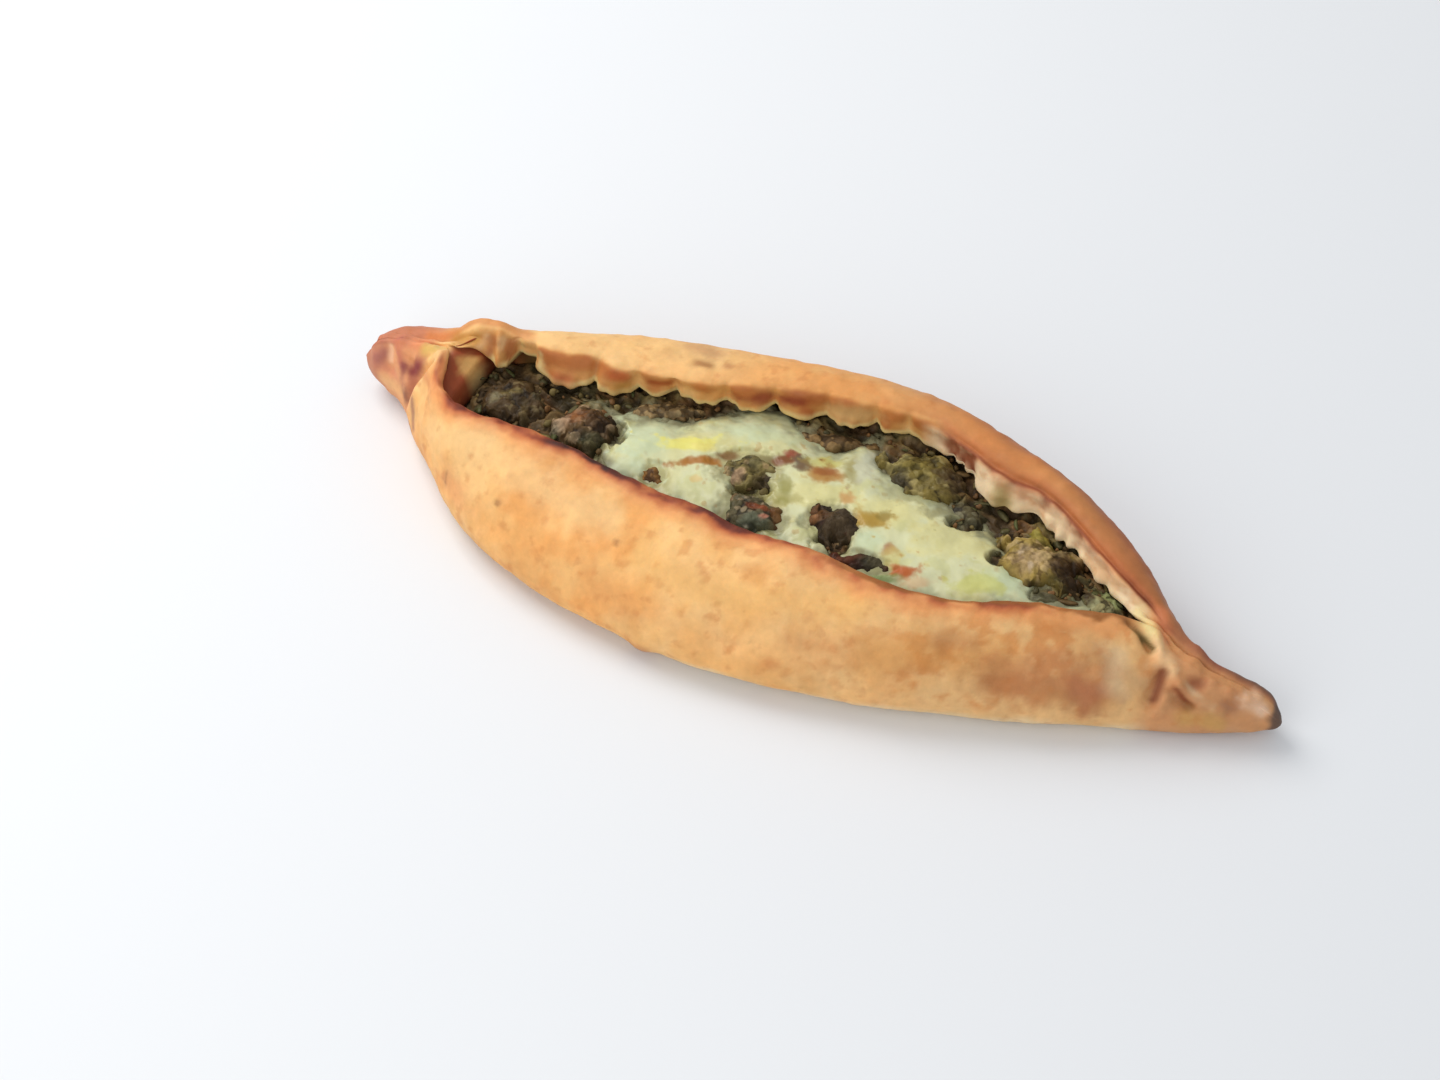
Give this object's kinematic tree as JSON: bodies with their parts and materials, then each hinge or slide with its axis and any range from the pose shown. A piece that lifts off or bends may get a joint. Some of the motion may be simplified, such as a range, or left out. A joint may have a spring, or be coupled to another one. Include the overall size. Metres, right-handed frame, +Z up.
{
  "type": "turkish pide",
  "caption": "Baked boat-shaped flatbread with pinched ends, a rolled scalloped edge and an open filling of greens, browned clumps and melted cheese.",
  "frame": {"origin": "on the table, under the middle of the pide's outline", "axes": "+X along the pide towards the slim pinched tail, +Y towards the rolled side, +Z up"},
  "size_m": [0.3021, 0.1089, 0.035],
  "materials": {
    "crust": "golden baked crust, darker along the rim",
    "greens": "dark cooked greens, moist",
    "cheese": "melted pale cheese with toasted spots",
    "clump": "browned, grainy and slightly oily",
    "olive_clump": "olive brown, grainy and slightly oily"
  },
  "bodies": {
    "root": {"dough": "crust", "filling": "greens", "cheese": "cheese", "left_clump": "clump", "round_clump": "clump", "upper_clump": "clump", "lower_clump": "clump", "button_clump": "clump", "flat_flake": "clump", "olive_clump": "olive_clump", "dark_clump": "clump", "large_clump": "olive_clump", "far_strip": "clump", "middle_strip": "clump", "right_clump": "clump", "small_bit": "clump"}
  },
  "joints": []
}
